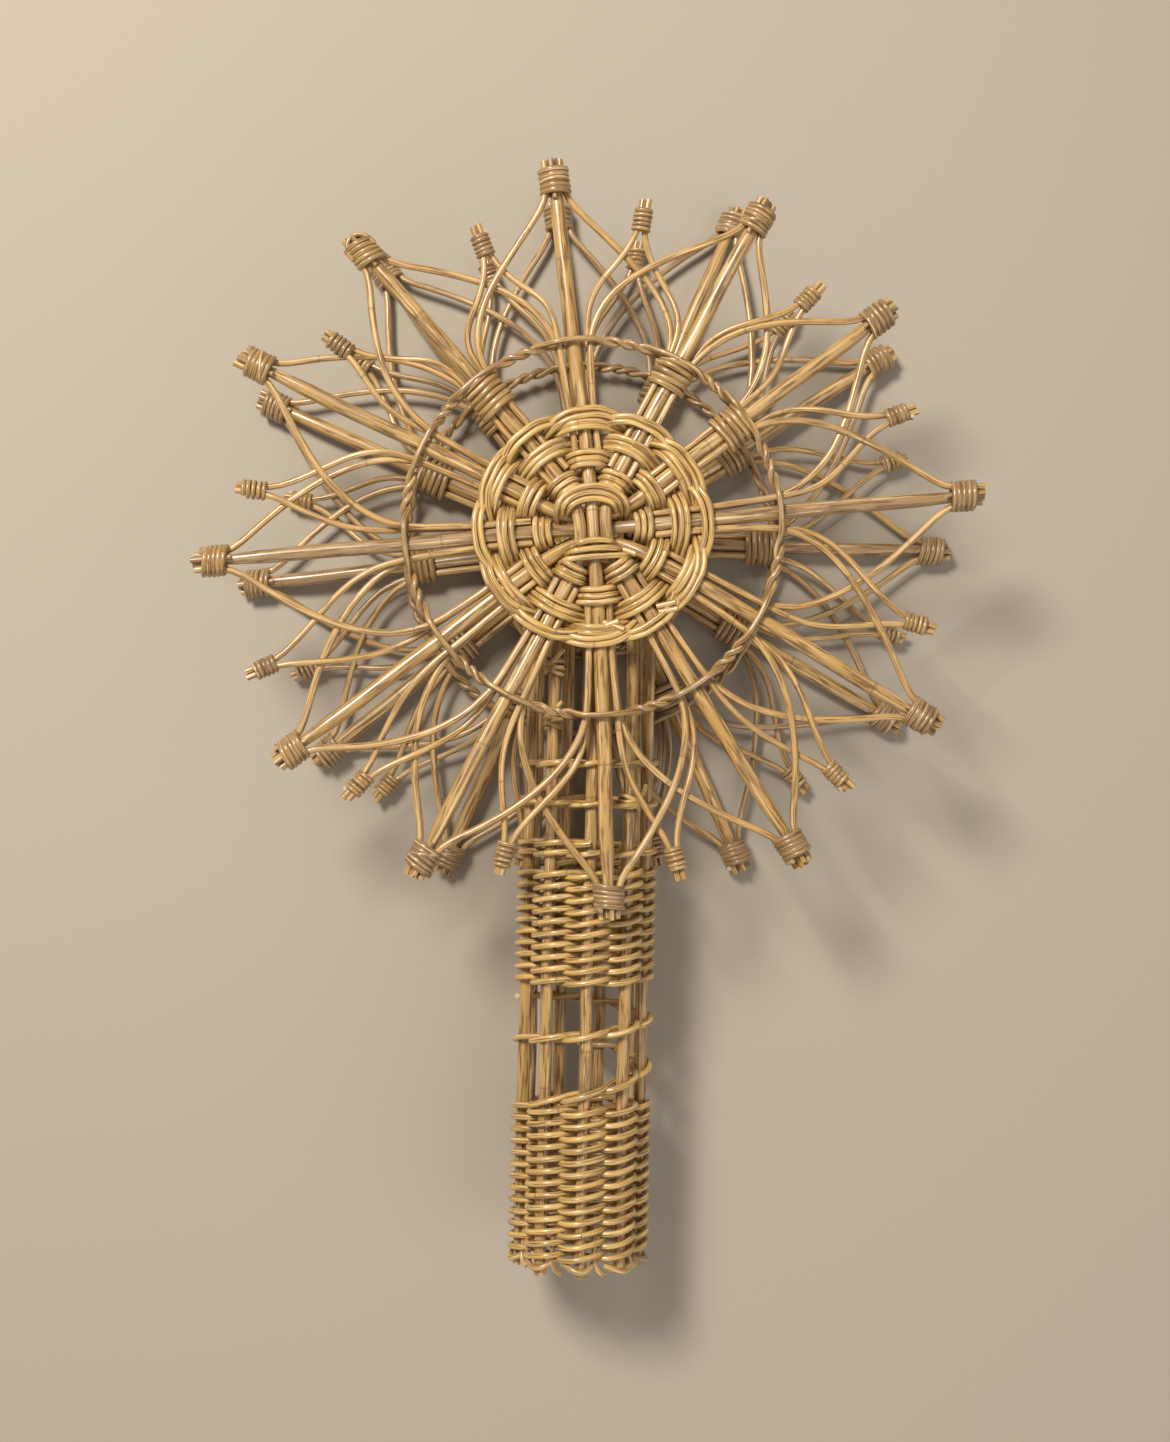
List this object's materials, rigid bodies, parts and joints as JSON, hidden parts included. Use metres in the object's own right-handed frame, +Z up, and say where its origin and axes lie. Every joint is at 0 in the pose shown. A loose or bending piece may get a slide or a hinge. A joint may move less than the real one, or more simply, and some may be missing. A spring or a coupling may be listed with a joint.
{
  "type": "rattan star tree topper",
  "caption": "Woven rattan star tree topper: two open stars of bent cane rods, front and back, on a woven tube that slips over the tip of a tree.",
  "frame": {"origin": "middle of the underside of the bounding box, on the surface the topper lies on", "axes": "+Z up through the front star, -Y along the tube towards its open mouth, +X to the right of the front star as it is seen with the tube pointing down"},
  "size_m": [0.348, 0.4994, 0.0913],
  "materials": {
    "rattan_spoke": "varnished honey cane with fine dark grain",
    "rattan_rod": "varnished pale cane rods",
    "rattan_weave": "varnished golden cane strands",
    "rattan_ring": "varnished brown cane strands",
    "rattan_stake": "varnished honey cane with fine dark grain"
  },
  "bodies": {
    "root": {"front_spoke_12_6": "rattan_spoke", "front_spoke_1_5": "rattan_spoke", "front_spoke_11_7": "rattan_spoke", "front_spoke_3_9": "rattan_spoke", "front_spoke_2_10": "rattan_spoke", "front_spoke_4_8": "rattan_spoke", "front_petal_01": "rattan_rod", "front_petal_02": "rattan_rod", "front_petal_03": "rattan_rod", "front_petal_04": "rattan_rod", "front_petal_05": "rattan_rod", "front_petal_06": "rattan_rod", "front_petal_07": "rattan_rod", "front_petal_08": "rattan_rod", "front_petal_09": "rattan_rod", "front_petal_10": "rattan_rod", "front_petal_11": "rattan_rod", "front_petal_12": "rattan_rod", "front_hub_row_1": "rattan_weave", "front_hub_row_2": "rattan_weave", "front_hub_row_3": "rattan_weave", "front_hub_row_4": "rattan_weave", "front_ring": "rattan_ring", "back_spoke_12_6": "rattan_spoke", "back_spoke_1_5": "rattan_spoke", "back_spoke_11_7": "rattan_spoke", "back_spoke_3_9": "rattan_spoke", "back_spoke_2_10": "rattan_spoke", "back_spoke_4_8": "rattan_spoke", "back_petal_01": "rattan_rod", "back_petal_02": "rattan_rod", "back_petal_03": "rattan_rod", "back_petal_04": "rattan_rod", "back_petal_05": "rattan_rod", "back_petal_06": "rattan_rod", "back_petal_07": "rattan_rod", "back_petal_08": "rattan_rod", "back_petal_09": "rattan_rod", "back_petal_10": "rattan_rod", "back_petal_11": "rattan_rod", "back_petal_12": "rattan_rod", "back_hub_row_1": "rattan_weave", "back_hub_row_2": "rattan_weave", "back_hub_row_3": "rattan_weave", "back_hub_row_4": "rattan_weave", "back_ring": "rattan_ring", "tube_stake_1": "rattan_stake", "tube_stake_2": "rattan_stake", "tube_stake_3": "rattan_stake", "tube_stake_4": "rattan_stake", "tube_stake_5": "rattan_stake", "tube_stake_6": "rattan_stake", "tube_stake_7": "rattan_stake", "tube_stake_8": "rattan_stake", "tube_stake_9": "rattan_stake", "tube_band_upper": "rattan_weave", "tube_band_lower": "rattan_weave", "tube_twist_middle": "rattan_weave", "tube_twist_top": "rattan_weave"}
  },
  "joints": []
}
